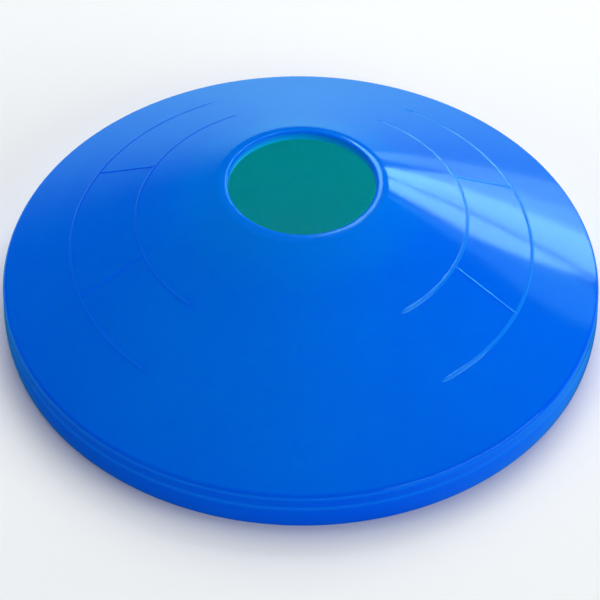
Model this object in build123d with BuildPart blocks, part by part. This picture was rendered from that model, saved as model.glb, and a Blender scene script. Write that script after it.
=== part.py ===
"""Sports marker cone: a low disc cone with an open crown, moulded in one shot from soft plastic.

The moulding is written as the regions that it is made of, from the crown down to the foot.
Each region meets the next one face to face. The cone stands on Z = 0, with its axis on Z.
"""
import os
from math import asin, atan2, cos, degrees, hypot, radians, sin, sqrt, tan

from build123d import *

# Driving dimensions, in millimetres and degrees
base_diameter = 190.0  # over the bulge of the foot bead
height = 50.0
wall_thickness = 1.2

# Crown: the wall rounds over into a short collar inside the hole
hole_diameter = 45.5
crown_round = 6.5  # outside radius of the round-over
lip_round = 1.0  # small radius at the hole's edge
collar_length = 1.9  # below the underside of the round-over
collar_thickness = 1.6

# Edge: a rounded shoulder, an upright skirt with a little draft, and the foot bead
skirt_height = 12.5  # from the floor to the corner where flank and skirt would meet
skirt_thickness = 1.4
skirt_draft = 0.5
shoulder_round = 1.8
bead_height = 8.0
bead_bulge = 0.4

# Raised lines: on each side two arcs, and two cross lines that frame the space between them
outer_arc_inset = 22.0  # in from the corner over the skirt
arc_spacing = 21.0  # between the two arcs, across the cone
arc_front_span = 53.5  # from the panel's middle to the arcs' front ends
arc_back_span = 65.0
arc_line_width = 1.5
arc_line_height = 0.25
cross_half_span = 23.0
cross_line_width = 1.3
cross_line_height = 0.2
line_flare = 68.0  # lean of the arc lines' sides

# Crown worked out: the round-over and the small edge radius share the crest
hole_radius = hole_diameter / 2
crest_radius = hole_radius + lip_round
crown_centre = (crest_radius, height - crown_round)

# Edge worked out: the skirt leans out towards the foot, and the bead bulges to the full diameter
skirt_lean = tan(radians(skirt_draft))
bead_root_radius = base_diameter / 2 - bead_bulge
bead_inner_radius = bead_root_radius - skirt_thickness
corner_radius = bead_root_radius - (skirt_height - bead_height) * skirt_lean

# Flank worked out: it starts at the corner over the skirt, and is tangent to the round-over
rise = crown_centre[1] - skirt_height
run = corner_radius - crown_centre[0]
wall_slope = atan2(rise, run) + asin(crown_round / hypot(rise, run))
wall_normal = (sin(wall_slope), cos(wall_slope))


def on_flank(radius, proud=0.0):
    """The point of the flank's outside at this radius, moved out of the surface by proud."""
    level = skirt_height + (corner_radius - radius) * tan(wall_slope)
    return (radius + proud * wall_normal[0], level + proud * wall_normal[1])


def upright_plane(azimuth):
    """The plane through the cone's axis at this azimuth: its X points outwards, its Y up."""
    turn = radians(azimuth)
    return Plane(origin=(0, 0, 0), x_dir=(cos(turn), sin(turn), 0), z_dir=(sin(turn), -cos(turn), 0))


# The shoulder's arc takes this much off the flank and off the skirt, measured from the corner,
# and the skirt's region keeps a short run of the flank above the arc
shoulder_turn = radians(90 - skirt_draft) - wall_slope
shoulder_trim = shoulder_round * tan(shoulder_turn / 2)
shoulder_start = on_flank(corner_radius - shoulder_trim * cos(wall_slope))
shoulder_end = (
    corner_radius + shoulder_trim * sin(radians(skirt_draft)),
    skirt_height - shoulder_trim * cos(radians(skirt_draft)),
)

# The flank's two ends, outside and inside
wall_top_radius = crest_radius + crown_round * wall_normal[0]
wall_foot_radius = corner_radius - (shoulder_trim + skirt_thickness) * cos(wall_slope)
wall_top, wall_top_under = on_flank(wall_top_radius), on_flank(wall_top_radius, -wall_thickness)
wall_foot, wall_foot_under = on_flank(wall_foot_radius), on_flank(wall_foot_radius, -wall_thickness)

os.makedirs("parts", exist_ok=True)

# Crown lip: the wall's top end rolls over the crest and down into the collar
under_round = crown_round - wall_thickness
collar_radius = hole_radius + collar_thickness
collar_top = crown_centre[1] + sqrt(under_round**2 - (collar_radius - crest_radius) ** 2)
collar_end = collar_top - collar_length
wall_angle = 90 - degrees(wall_slope)
under_angle = degrees(atan2(collar_top - crown_centre[1], collar_radius - crest_radius))

with BuildPart() as crown_lip:
    with BuildSketch(Plane.XZ):
        with BuildLine():
            over = CenterArc(crown_centre, crown_round, wall_angle, 90 - wall_angle)
            edge = CenterArc((crest_radius, height - lip_round), lip_round, 90, 90)
            under = CenterArc(crown_centre, under_round, under_angle, wall_angle - under_angle)
            Polyline(edge @ 1, (hole_radius, collar_end), (collar_radius, collar_end), under @ 0)
            Line(under @ 1, over @ 0)
        make_face()
    revolve(axis=Axis.Z)
crown_lip.part.label = "crown_lip"
export_step(crown_lip.part, "parts/crown_lip.step")

# Cone wall: the straight flank from the round-over to the shoulder
with BuildPart() as cone_wall:
    with BuildSketch(Plane.XZ):
        with BuildLine():
            Polyline(wall_top, wall_foot, wall_foot_under, wall_top_under, close=True)
        make_face()
    revolve(axis=Axis.Z)
cone_wall.part.label = "cone_wall"
export_step(cone_wall.part, "parts/cone_wall.step")

# Edge skirt: the shoulder's arc and the upright band, down to the foot bead.
# Inside, the underside of the flank and the back of the band meet in a plain corner.
inside_run = bead_inner_radius + bead_height * skirt_lean - wall_foot_under[0]
inside_level = (wall_foot_under[1] - inside_run * tan(wall_slope)) / (1 - skirt_lean * tan(wall_slope))
inside_corner = (bead_inner_radius - (inside_level - bead_height) * skirt_lean, inside_level)

with BuildPart() as edge_skirt:
    with BuildSketch(Plane.XZ):
        with BuildLine():
            shoulder = RadiusArc(shoulder_start, shoulder_end, shoulder_round)
            Polyline(
                shoulder @ 1,
                (bead_root_radius, bead_height),
                (bead_inner_radius, bead_height),
                inside_corner,
                wall_foot_under,
                wall_foot,
                shoulder @ 0,
            )
        make_face()
    revolve(axis=Axis.Z)
edge_skirt.part.label = "edge_skirt"
export_step(edge_skirt.part, "parts/edge_skirt.step")

# Foot bead: the lower half of the skirt bulges out, and ends in the flat ring that the cone stands on
with BuildPart() as foot_bead:
    with BuildSketch(Plane.XZ):
        with BuildLine():
            bulge = SagittaArc((bead_root_radius, bead_height), (bead_root_radius, 0), bead_bulge)
            Polyline(bulge @ 1, (bead_inner_radius, 0), (bead_inner_radius, bead_height), bulge @ 0)
        make_face()
    revolve(axis=Axis.Z)
foot_bead.part.label = "foot_bead"
export_step(foot_bead.part, "parts/foot_bead.step")

# Raised lines: ridges with leaning sides along the arcs, and flatter cross lines between them
outer_arc_radius = corner_radius - outer_arc_inset
inner_arc_radius = outer_arc_radius - arc_spacing
cross_turn = degrees(cross_line_width / ((inner_arc_radius + outer_arc_radius) / 2))


def beside_line(radius, side, proud):
    """The point on an arc line's inner (side -1) or outer (side 1) face, proud of the flank."""
    reach = arc_line_width / 2 - proud * tan(radians(line_flare))
    return on_flank(radius + side * reach * cos(wall_slope), proud)


for panel_name, panel_middle, arc_start in (
    ("right_panel_lines", 0, -arc_front_span),
    ("left_panel_lines", 180, 180 - arc_back_span),
):
    lines = []
    for arc_radius in (inner_arc_radius, outer_arc_radius):
        with BuildPart() as arc_line:
            with BuildSketch(upright_plane(arc_start)):
                with BuildLine():
                    Polyline(
                        beside_line(arc_radius, -1, 0),
                        beside_line(arc_radius, 1, 0),
                        beside_line(arc_radius, 1, arc_line_height),
                        beside_line(arc_radius, -1, arc_line_height),
                        close=True,
                    )
                make_face()
            revolve(axis=Axis.Z, revolution_arc=arc_front_span + arc_back_span)
        lines.append(arc_line.part)
    for cross_middle in (panel_middle - cross_half_span, panel_middle + cross_half_span):
        with BuildPart() as cross_line:
            with BuildSketch(upright_plane(cross_middle - cross_turn / 2)):
                with BuildLine():
                    Polyline(
                        beside_line(inner_arc_radius, 1, 0),
                        beside_line(outer_arc_radius, -1, 0),
                        beside_line(outer_arc_radius, -1, cross_line_height),
                        beside_line(inner_arc_radius, 1, cross_line_height),
                        close=True,
                    )
                make_face()
            revolve(axis=Axis.Z, revolution_arc=cross_turn)
        lines.append(cross_line.part)
    panel_lines = Compound(label=panel_name, children=lines)
    export_step(panel_lines, f"parts/{panel_name}.step")
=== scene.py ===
from math import atan2, cos, hypot, pi, radians, sin, tan

import bmesh
import bpy
from mathutils import Matrix, Vector


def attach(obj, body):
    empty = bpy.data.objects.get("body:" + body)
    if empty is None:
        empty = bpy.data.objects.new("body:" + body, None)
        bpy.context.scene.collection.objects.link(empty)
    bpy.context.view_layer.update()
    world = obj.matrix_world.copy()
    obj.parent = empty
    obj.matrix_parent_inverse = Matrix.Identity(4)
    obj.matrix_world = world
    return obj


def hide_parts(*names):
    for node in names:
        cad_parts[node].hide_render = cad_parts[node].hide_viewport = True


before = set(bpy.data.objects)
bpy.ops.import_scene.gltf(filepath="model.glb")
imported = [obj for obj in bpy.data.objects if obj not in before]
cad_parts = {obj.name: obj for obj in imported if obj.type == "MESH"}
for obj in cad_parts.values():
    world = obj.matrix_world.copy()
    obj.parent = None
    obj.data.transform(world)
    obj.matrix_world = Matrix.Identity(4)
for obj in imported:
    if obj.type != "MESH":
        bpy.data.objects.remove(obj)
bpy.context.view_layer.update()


# The shell is the whole cone: crown lip, flank, skirt and foot bead are one piece of soft, glossy
# polyethylene, moulded in one shot between a polished cavity and a matt core. Its wall is 1.2 mm,
# thin enough to let some light through, and thicker only in the lip's collar and the skirt.
flank_slope = radians(28.467)
wall = 0.0012
wall_drop = wall / cos(flank_slope)
hole_radius, collar_radius = 0.02275, 0.02435
foot_radius, corner_radius, inside_radius = 0.0946, 0.094561, 0.0932
corner_level, crest_level, bead_level = 0.0125, 0.050, 0.008
collar_top, collar_end = 0.048766, 0.046866
bead_corner = 0.0008


def flank_level(radius):
    return corner_level + (corner_radius - radius) * tan(flank_slope)


def flank_radius(level):
    return corner_radius - (level - corner_level) / tan(flank_slope)


shell_mesh = bmesh.new()
section = {
    "hole": (hole_radius, crest_level),
    "crest": (flank_radius(crest_level), crest_level),
    "flank_end": (inside_radius, flank_level(inside_radius)),
    "shoulder": (corner_radius, corner_level),
    "bead_top": (foot_radius, bead_level),
    "bead": (foot_radius + bead_corner, bead_level / 2),
    "foot": (foot_radius, 0.0),
    "foot_inside": (inside_radius, 0.0),
    "shoulder_inside": (inside_radius, flank_level(inside_radius) - wall_drop),
    "crest_inside": (flank_radius(crest_level - wall + wall_drop), crest_level - wall),
    "collar_top": (collar_radius, collar_top),
    "collar_end_outside": (collar_radius, collar_end),
    "collar_end": (hole_radius, collar_end),
}
corners = {name: shell_mesh.verts.new((r, 0, z)) for name, (r, z) in section.items()}
shell_mesh.faces.new(corners.values())
for name, trim, steps in (
    ("crest", 0.001649, 10),
    ("hole", 0.000999, 8),
    ("shoulder", 0.00106, 8),
    ("bead", 0.0040, 12),
    ("foot", 0.00012, 3),
    ("foot_inside", 0.0003, 3),
    ("shoulder_inside", 0.0008, 5),
    ("crest_inside", 0.0006, 5),
    ("collar_end_outside", 0.0004, 4),
    ("collar_end", 0.0005, 5),
):
    bmesh.ops.bevel(
        shell_mesh, geom=[corners[name]], offset=trim, offset_type="OFFSET", affect="VERTICES",
        segments=steps, profile=0.5, material=-1,
    )
bmesh.ops.delete(shell_mesh, geom=shell_mesh.faces[:], context="FACES_ONLY")

# The straight runs are divided, the flank's first, so that values can change along them.
for shortest, longest, cuts in ((0.03, 0.1, 35), (0.003, 0.03, 5)):
    runs = [e for e in shell_mesh.edges if shortest < e.calc_length() < longest]
    bmesh.ops.subdivide_edges(shell_mesh, edges=runs, cuts=cuts)


def clamp(value):
    return min(1, max(0, value))


# Three values go with each point of the section: how worn the edge is there, with a painted highlight
# along the worn shoulder, lip and bead; how deep the plastic; and a painted glow that stands for the light
# from inside the cone, strongest low in the collar.
lip_radius, skirt_run, wear_highlight_reach = 0.0236, 0.0011, 0.0009
lip_glow_level, lip_glow_run = 0.0497, 0.0016
# Around the shoulder, the hole's edge and the bead's top the colour is painted lighter: worn plastic, and
# a painted highlight along these edges.
shoulder_wear_highlight, lip_wear_highlight, bead_wear_highlight = (0.0945, 0.0117, 0.30), (0.0231, 0.0499, 0.35), (0.0946, 0.0078, 0.4)
wear_and_painted_light = shell_mesh.verts.layers.float.new("wear_and_painted_light")
wall_depth = shell_mesh.verts.layers.float.new("wall_depth")
painted_inner_glow = shell_mesh.verts.layers.float.new("painted_inner_glow")
for vert in shell_mesh.verts:
    for r, z, most in (shoulder_wear_highlight, lip_wear_highlight, bead_wear_highlight):
        wear_plus_highlight = most * (1 - hypot(vert.co.x - r, vert.co.z - z) / wear_highlight_reach)
        vert[wear_and_painted_light] = max(vert[wear_and_painted_light], wear_plus_highlight)
    vert[wall_depth] = clamp((vert.co.x - inside_radius) / skirt_run)
    if vert.co.x < lip_radius:
        vert[wall_depth] = 1
        vert[painted_inner_glow] = clamp((lip_glow_level - vert.co.z) / lip_glow_run)

bmesh.ops.spin(
    shell_mesh, geom=shell_mesh.verts[:] + shell_mesh.edges[:], cent=(0, 0, 0), axis=(0, 0, 1),
    angle=2 * pi, steps=240, use_merge=True,
)
bmesh.ops.remove_doubles(shell_mesh, verts=shell_mesh.verts[:], dist=1e-6)
bmesh.ops.recalc_face_normals(shell_mesh, faces=shell_mesh.faces[:])

# On the flank the painted glow is faint: most around the crown, and a little towards the rim.
shoulder_radius = 0.0935
crown_glow, crown_glow_end, crown_glow_run = 0.16, 0.042, 0.018
rim_glow, rim_glow_start, rim_glow_run = 0.045, 0.060, 0.033
for vert in shell_mesh.verts:
    radius = hypot(vert.co.x, vert.co.y)
    if lip_radius < radius < shoulder_radius:
        at_crown = max(0, (crown_glow_end - radius) / crown_glow_run)
        at_rim = clamp((radius - rim_glow_start) / rim_glow_run)
        vert[painted_inner_glow] = crown_glow * at_crown + rim_glow * at_rim

# Faces that look down or, below the lip, inwards are the core's matt side. The bead's upper edge is sharp.
slant, lip_level = 0.3, 0.04
for face in shell_mesh.faces:
    face.smooth = True
    middle = face.calc_center_median()
    outward = face.normal.dot(Vector((middle.x, middle.y, 0)).normalized())
    face.material_index = int(face.normal.z < -slant or (outward < -slant and middle.z < lip_level))
for edge in shell_mesh.edges:
    edge.smooth = not all(
        abs(v.co.z - bead_level) < 1e-6 and hypot(v.co.x, v.co.y) > foot_radius - 1e-5 for v in edge.verts
    )
shell_data = bpy.data.meshes.new("cone_shell")
shell_mesh.to_mesh(shell_data)
shell_mesh.free()
cone_shell = bpy.data.objects.new("cone_shell", shell_data)
bpy.context.scene.collection.objects.link(cone_shell)
even_normals = cone_shell.modifiers.new("even_normals", "WEIGHTED_NORMAL")
even_normals.mode = "FACE_AREA"
even_normals.keep_sharp = True


def noise(tree, place, scale, detail):
    texture = tree.nodes.new("ShaderNodeTexNoise")
    texture.inputs["Scale"].default_value = scale
    texture.inputs["Detail"].default_value = detail
    tree.links.new(place, texture.inputs["Vector"])
    return texture.outputs["Fac"]


def ramp(tree, value, low, high, start, end):
    """What goes from start to end while the value goes from low to high."""
    change = tree.nodes.new("ShaderNodeMapRange")
    for name, number in (("From Min", low), ("From Max", high), ("To Min", start), ("To Max", end)):
        change.inputs[name].default_value = number
    tree.links.new(value, change.inputs["Value"])
    return change.outputs["Result"]


# What use leaves on the plastic, for both its faces: cloudy tone, fine scratches, and slight waves
# where the thin wall shrank in the mould.
traces = bpy.data.node_groups.new("moulding_and_use", "ShaderNodeTree")
traces.interface.new_socket("Place", in_out="INPUT", socket_type="NodeSocketVector")
for name in ("Clouds", "Scratches", "Waves"):
    traces.interface.new_socket(name, in_out="OUTPUT", socket_type="NodeSocketFloat")
nodes, links = traces.nodes, traces.links
place, result = nodes.new("NodeGroupInput").outputs["Place"], nodes.new("NodeGroupOutput")
links.new(noise(traces, place, scale=24, detail=3), result.inputs["Clouds"])
links.new(noise(traces, place, scale=38, detail=2), result.inputs["Waves"])

scratches = None
for turn, along, across in ((0.5, 40, 1100), (-0.9, 55, 1500), (1.7, 30, 900)):
    direction = nodes.new("ShaderNodeMapping")
    direction.inputs["Rotation"].default_value = (0, 0, turn)
    direction.inputs["Scale"].default_value = (along, across, along)
    links.new(place, direction.inputs["Vector"])
    streaks = noise(traces, direction.outputs["Vector"], scale=1, detail=1)
    strokes = ramp(traces, streaks, 0.68, 0.85, 0, 1)
    if scratches is not None:
        both = nodes.new("ShaderNodeMath")
        both.operation = "MAXIMUM"
        links.new(scratches, both.inputs[0])
        links.new(strokes, both.inputs[1])
        strokes = both.outputs["Value"]
    scratches = strokes
links.new(scratches, result.inputs["Scratches"])

# The plastic is polished outside and matt inside. Some light comes through the thin wall, and a clear
# skin keeps red out of what it reflects, more so where the plastic is deep.
blue_plastic = bpy.data.materials.new("blue_polyethylene")
matt_blue = bpy.data.materials.new("blue_polyethylene_inside")
for finish, polish, scratched, share in ((blue_plastic, 0.10, 0.30, 0.34), (matt_blue, 0.40, 0.5, 0.85)):
    finish.use_nodes = True
    tree = finish.node_tree
    nodes, links = tree.nodes, tree.links
    nodes.clear()
    output = nodes.new("ShaderNodeOutputMaterial")
    plastic = nodes.new("ShaderNodeBsdfPrincipled")
    through = nodes.new("ShaderNodeBsdfTranslucent")
    sheer = nodes.new("ShaderNodeMixShader")
    plastic.inputs["IOR"].default_value = 1.5
    plastic.inputs["Specular IOR Level"].default_value = 0.20
    plastic.inputs["Coat IOR"].default_value = 1.0
    plastic.inputs["Coat Tint"].default_value = (0.0, 1.0, 1.0, 1)
    through.inputs["Color"].default_value = (0.0, 0.89, 0.78, 1)
    links.new(plastic.outputs["BSDF"], sheer.inputs[1])
    links.new(through.outputs["BSDF"], sheer.inputs[2])
    links.new(sheer.outputs["Shader"], output.inputs["Surface"])

    where = nodes.new("ShaderNodeTexCoord")
    marks = nodes.new("ShaderNodeGroup")
    marks.node_tree = traces
    links.new(where.outputs["Object"], marks.inputs["Place"])
    masks = {name: marks.outputs[name] for name in ("Clouds", "Scratches")}
    for name in ("wall_depth", "painted_inner_glow", "wear_and_painted_light"):
        value = nodes.new("ShaderNodeAttribute")
        value.attribute_name = name
        masks[name] = value.outputs["Fac"]
    links.new(ramp(tree, masks["wall_depth"], 0, 1, share, 0.35 * share), sheer.inputs["Fac"])
    links.new(ramp(tree, masks["wall_depth"], 0, 1, 0.56, 0.85), plastic.inputs["Coat Weight"])
    links.new(ramp(tree, masks["Scratches"], 0, 1, polish, scratched), plastic.inputs["Roughness"])

    # The base colour is mixed from a random cloudy tone, a darker tone where the plastic is deep, a
    # painted glow for light from inside the cone, lighter worn edges that carry a painted highlight, and
    # light scratches.
    colour = None
    for name, low, high, most, shade in (
        ("Clouds", 0.30, 0.70, 1.0, (0.0, 0.092, 0.96, 1)),
        ("wall_depth", 0.0, 1.0, 1.0, (0.0, 0.068, 0.79, 1)),
        ("painted_inner_glow", 0.0, 1.0, 1.0, (0.0, 0.45, 0.95, 1)),
        ("wear_and_painted_light", 0.0, 1.0, 0.8, (0.01, 0.27, 1.0, 1)),
        ("Scratches", 0.0, 1.0, 0.08, (0.05, 0.22, 1.0, 1)),
    ):
        mix = nodes.new("ShaderNodeMix")
        mix.data_type = "RGBA"
        links.new(ramp(tree, masks[name], low, high, 0, most), mix.inputs["Factor"])
        mix.inputs["A"].default_value = (0.0, 0.078, 0.92, 1)
        mix.inputs["B"].default_value = shade
        if colour is not None:
            links.new(colour, mix.inputs["A"])
        colour = mix.outputs["Result"]
    links.new(colour, plastic.inputs["Base Color"])

    relief = nodes.new("ShaderNodeBump")
    relief.inputs["Strength"].default_value = 1.0
    relief.inputs["Distance"].default_value = 0.00008
    links.new(marks.outputs["Waves"], relief.inputs["Height"])
    links.new(relief.outputs["Normal"], plastic.inputs["Normal"])

shell_data.materials.append(blue_plastic)
shell_data.materials.append(matt_blue)
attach(cone_shell, "root")
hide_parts("crown_lip", "cone_wall", "edge_skirt", "foot_bead")


# The raised lines are fine ridges on both sides of the flank, cut into the mould's cavity: two long
# arcs, and two flatter cross lines that frame the space between them. They are part of the same
# plastic, rounded on top, and their ends run out into the flank. Most of the left ones are lower.
outer_arc, inner_arc = corner_radius - 0.022, corner_radius - 0.043
between_arcs = (inner_arc + outer_arc) / 2
arc_sweep, run_out, cross_turn = radians(118.5), radians(2), radians(23)
arc_half_width, arc_top_round, arc_seat, end_drop = 0.00075, 0.00025, 0.00003, 0.00034
cross_length, cross_width = (outer_arc - inner_arc) / cos(flank_slope), 0.0013
cross_top_share, cross_seat = 0.12, 0.00005
back_run = 0.03
# The tones given for each side are painted light on the lines: a painted highlight on the tops, lighter
# sides and cross lines, and dark at the back of the left side.
for side, middle, start, apex, cross_heights, top_tone, side_tone, cross_tone, dark in (
    ("right", 0.0, radians(-53.5), 0.00029, (0.00024, 0.00024), 1.0, 0.5, 0.3, 0.0),
    ("left", pi, pi - radians(65), 0.00013, (0.00024, 0.00012), 0.45, 0.45, 0.4, 0.85),
):
    line_mesh = bmesh.new()
    line_wear_and_light = line_mesh.verts.layers.float.new("wear_and_painted_light")
    deep = line_mesh.verts.layers.float.new("wall_depth")
    for radius in (inner_arc, outer_arc):
        ridge = [
            line_mesh.verts.new((along, 0, proud))
            for along, proud in ((-arc_half_width, -arc_seat), (arc_half_width, -arc_seat), (0.0, apex))
        ]
        line_mesh.faces.new(ridge)
        rounded = bmesh.ops.bevel(
            line_mesh, geom=ridge[2:], offset=arc_top_round, offset_type="OFFSET", affect="VERTICES",
            segments=4, profile=0.5, material=-1,
        )
        for vert in ridge[:2]:
            vert[line_wear_and_light] = side_tone
        for vert in rounded["verts"]:
            vert[line_wear_and_light] = top_tone
        ridge = ridge[:2] + rounded["verts"]
        bmesh.ops.delete(
            line_mesh, geom=list({f for v in ridge for f in v.link_faces}), context="FACES_ONLY",
        )
        bmesh.ops.transform(
            line_mesh, verts=ridge,
            matrix=Matrix.Rotation(start, 4, "Z")
            @ Matrix.Translation((radius, 0, flank_level(radius)))
            @ Matrix.Rotation(flank_slope, 4, "Y"),
        )
        swept = bmesh.ops.spin(
            line_mesh, geom=ridge + list({e for v in ridge for e in v.link_edges}),
            cent=(0, 0, 0), axis=(0, 0, 1), angle=arc_sweep, steps=79,
        )
        last = [v for v in swept["geom_last"] if isinstance(v, bmesh.types.BMVert)]
        for ring in (ridge, last):
            low = sum((v.co for v in ring), Vector()) / len(ring)
            bmesh.ops.pointmerge(line_mesh, verts=ring, merge_co=low)
    for vert in line_mesh.verts:
        turned = (atan2(vert.co.y, vert.co.x) - start) % (2 * pi)
        to_end = min(turned, arc_sweep - turned) / run_out
        if to_end < 1:
            vert.co.z -= end_drop * (1 - to_end)
    for turn, cross_height in zip((-cross_turn, cross_turn), cross_heights):
        bar = bmesh.ops.create_cube(line_mesh, size=1.0)["verts"]
        top = [v for v in bar if v.co.z > 0]
        bmesh.ops.scale(line_mesh, verts=top, vec=(1, cross_top_share, 1))
        for vert in bar:
            vert[line_wear_and_light], vert[deep] = cross_tone, 1
        bmesh.ops.transform(
            line_mesh, verts=bar,
            matrix=Matrix.Rotation(middle + turn, 4, "Z")
            @ Matrix.Translation((between_arcs, 0, flank_level(between_arcs)))
            @ Matrix.Rotation(flank_slope, 4, "Y")
            @ Matrix.Translation((0, 0, cross_height / 2 - cross_seat))
            @ Matrix.Diagonal((cross_length, cross_width, cross_height, 1)),
        )
    # A ridge lets no light through, so its tone is painted lighter to stand for that light, together with
    # a little wear, and the tops of the right ones carry a painted highlight. At the back of the left side
    # the lines lose that lighter tone and stay dark, a painted reflection.
    for vert in line_mesh.verts:
        vert[line_wear_and_light] *= 1 - dark * clamp(vert.co.y / back_run)
    bmesh.ops.recalc_face_normals(line_mesh, faces=line_mesh.faces[:])
    for face in line_mesh.faces:
        face.smooth = True
    for edge in line_mesh.edges:
        edge.smooth = edge.calc_face_angle(0) < radians(60)
    line_data = bpy.data.meshes.new(f"{side}_lines")
    line_mesh.to_mesh(line_data)
    line_mesh.free()
    line_data.materials.append(blue_plastic)
    raised_lines = bpy.data.objects.new(f"{side}_lines", line_data)
    bpy.context.scene.collection.objects.link(raised_lines)
    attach(raised_lines, "root")
    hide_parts(f"{side}_panel_lines")


# The floor is a sheet of pale studio paper, 3.4 m wide, so that it fills the view on every side. It
# takes the shadow, but doesn't show in the gloss, which mirrors the room's own ground.
floor_half_width, floor_gap = 1.7, 0.0001
floor_mesh = bmesh.new()
bmesh.ops.create_grid(floor_mesh, x_segments=1, y_segments=1, size=floor_half_width)
bmesh.ops.translate(floor_mesh, verts=floor_mesh.verts[:], vec=(0, 0, -floor_gap))
floor_data = bpy.data.meshes.new("floor")
floor_mesh.to_mesh(floor_data)
floor_mesh.free()
paper = bpy.data.materials.new("pale_paper")
paper.use_nodes = True
paper_sheet = paper.node_tree.nodes["Principled BSDF"]
paper_sheet.inputs["Base Color"].default_value = (0.78, 0.80, 0.81, 1)
paper_sheet.inputs["Roughness"].default_value = 0.9
paper_sheet.inputs["Specular IOR Level"].default_value = 0.1
floor_data.materials.append(paper)
floor = bpy.data.objects.new("floor", floor_data)
bpy.context.scene.collection.objects.link(floor)
floor.visible_glossy = False


# The light is soft: two broad softboxes in front, and two lamps above and behind. A tall board behind
# shows only as the shine on the raised lines and the lip, and five panes at the right, like those of a
# window, only as the bright band on the flank.
def softbox(name, azimuth, elevation, distance, width, height, power):
    lamp = bpy.data.lights.new(name, "AREA")
    lamp.shape = "RECTANGLE"
    lamp.size, lamp.size_y, lamp.energy = width, height, power
    stand = bpy.data.objects.new(name, lamp)
    away = Vector((
        cos(radians(azimuth)) * cos(radians(elevation)),
        sin(radians(azimuth)) * cos(radians(elevation)),
        sin(radians(elevation)),
    ))
    cone_middle = Vector((0, 0, 0.03))
    stand.location = away * distance + cone_middle
    stand.rotation_euler = away.to_track_quat("Z", "Y").to_euler()
    bpy.context.scene.collection.objects.link(stand)
    return stand


softbox("right_lamp", -32, 17, 1.6, 1.7, 0.7, 19)
softbox("left_lamp", -150, 17, 1.6, 1.7, 0.7, 5.5).visible_glossy = False
softbox("top_lamp", 86, 66, 1.6, 2.0, 1.3, 22).visible_glossy = False
softbox("back_lamp", 80, 36, 1.6, 1.2, 0.8, 14).visible_glossy = False
softbox("high_board", 78.5, 43.5, 1.4, 0.30, 0.83, 11.5).visible_diffuse = False
softbox("top_pane", 50.5, 20.1, 1.4, 0.30, 0.162, 2.6).visible_diffuse = False
softbox("middle_pane", 53.5, 12.4, 1.4, 0.45, 0.171, 3.3).visible_diffuse = False
softbox("low_pane", 57, 6.9, 1.4, 0.34, 0.098, 0.60).visible_diffuse = False
softbox("foot_pane", 64, 2.7, 1.4, 0.40, 0.107, 0.35).visible_diffuse = False
side_pane = softbox("side_pane", 39.5, 23, 1.4, 0.25, 0.25, 0.65)
side_pane.visible_diffuse = False
side_pane.data.color = (0.5, 0.95, 1.0)

# The room is bright at the horizon and dark overhead. Its ground, seen steeply from above, is dark too,
# but less so on the right.
room = bpy.data.worlds.new("room")
room.use_nodes = True
tree = room.node_tree
view = tree.nodes.new("ShaderNodeTexCoord")
parts = tree.nodes.new("ShaderNodeSeparateXYZ")
tree.links.new(view.outputs["Generated"], parts.inputs["Vector"])
horizon = ramp(tree, parts.outputs["Z"], -0.1, 0.28, 1.3, 0.05)
horizon.node.interpolation_type = "SMOOTHSTEP"
ground_side = ramp(tree, parts.outputs["X"], 0.3, 0.7, 0.15, 0.8)
ground = ramp(tree, parts.outputs["Z"], -0.65, -0.35, 0, 1)
tree.links.new(ground_side, ground.node.inputs["To Min"])
strength = tree.nodes.new("ShaderNodeMath")
strength.operation = "MULTIPLY"
tree.links.new(horizon, strength.inputs[0])
tree.links.new(ground, strength.inputs[1])
sky = tree.nodes["Background"]
sky.inputs["Color"].default_value = (0.8, 0.95, 1, 1)
tree.links.new(strength.outputs["Value"], sky.inputs["Strength"])
bpy.context.scene.world = room


# The camera stands in front of the cone and looks down at it at 46 degrees, through a long lens.
camera_data = bpy.data.cameras.new("camera")
camera_data.sensor_width = 36.0
camera_data.lens = 139.9
camera_data.clip_start = 0.01
camera = bpy.data.objects.new("camera", camera_data)
bpy.context.scene.collection.objects.link(camera)
turn, rise, roll, distance = radians(2.0), radians(45.69), radians(0.63), 0.7527
back = Matrix.Rotation(turn, 3, "Z") @ Vector((0, -cos(rise), sin(rise)))
aim = Matrix.Rotation(turn, 3, "Z") @ Vector((-0.00021, 0, -0.00196))
camera.matrix_world = (
    Matrix.Translation(aim + back * distance)
    @ back.to_track_quat("Z", "Y").to_matrix().to_4x4()
    @ Matrix.Rotation(roll, 4, "Z")
)
bpy.context.scene.camera = camera
bpy.context.scene.view_settings.view_transform = "Standard"
